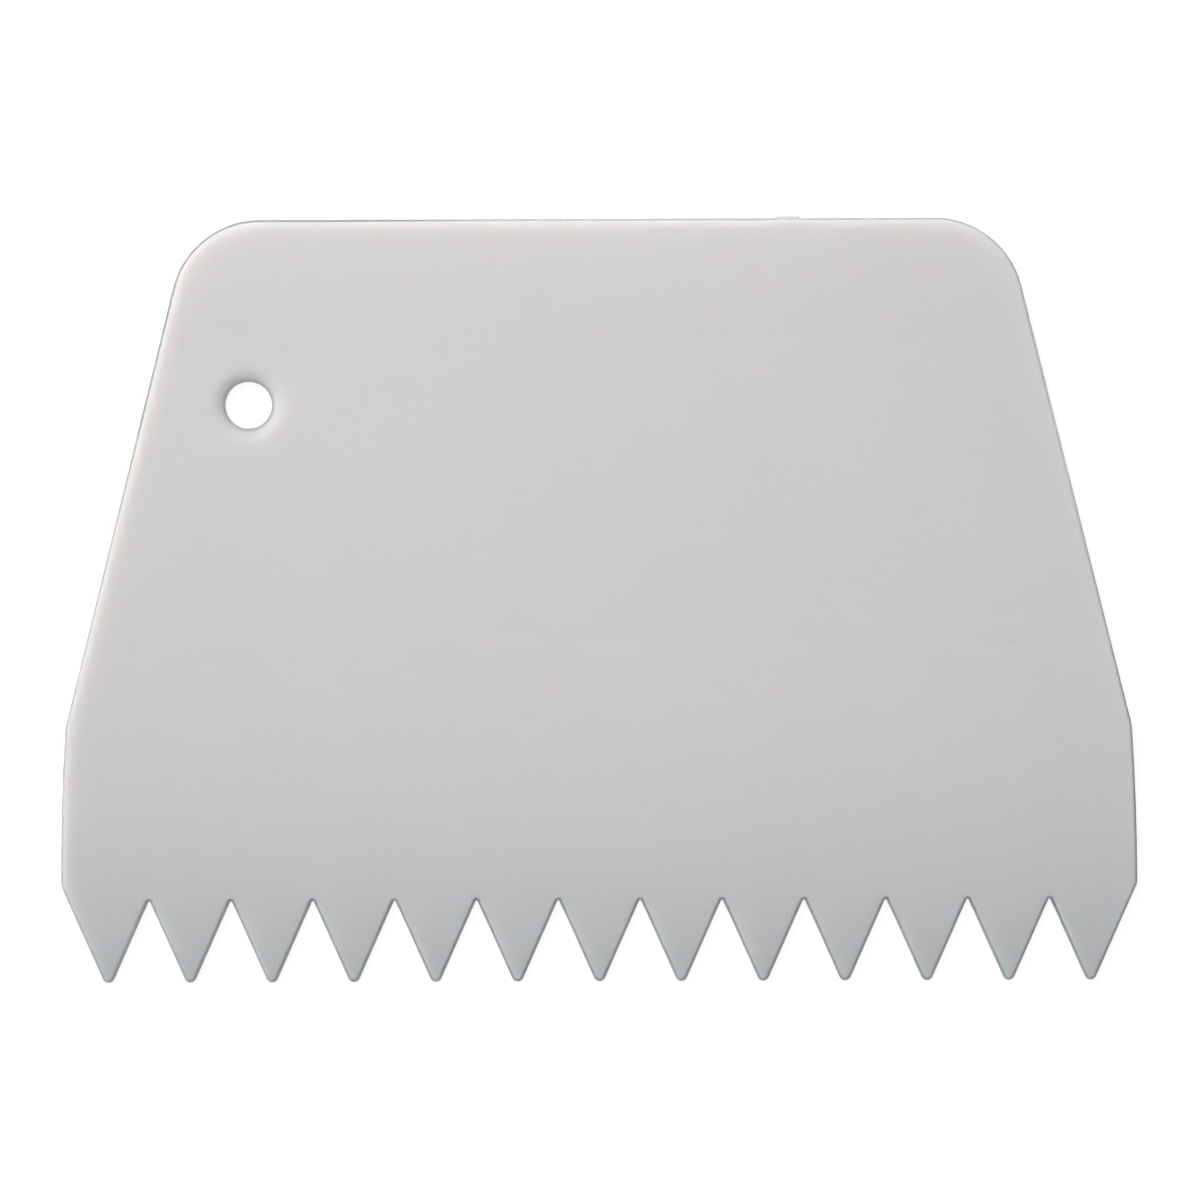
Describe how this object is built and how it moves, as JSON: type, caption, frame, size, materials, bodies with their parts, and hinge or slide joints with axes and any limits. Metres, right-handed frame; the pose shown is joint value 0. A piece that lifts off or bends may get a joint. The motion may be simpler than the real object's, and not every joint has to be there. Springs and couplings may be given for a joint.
{
  "type": "icing comb",
  "caption": "Flat plastic icing smoother with slanted sides, rounded grip corners, a hanging hole and a row of pointed teeth for combing ridges into icing.",
  "frame": {"origin": "on the flat back face, midway between the tooth tips and the grip edge and on the plate's centre line", "axes": "+X along the row of teeth, +Y from the tooth tips to the grip edge, +Z out of the front face"},
  "size_m": [0.12, 0.0852, 0.0021],
  "materials": {
    "white_plastic": "satin moulded plastic with a fine even texture, slightly translucent at its edges"
  },
  "bodies": {
    "root": {"comb_plate": "white_plastic"}
  },
  "joints": []
}
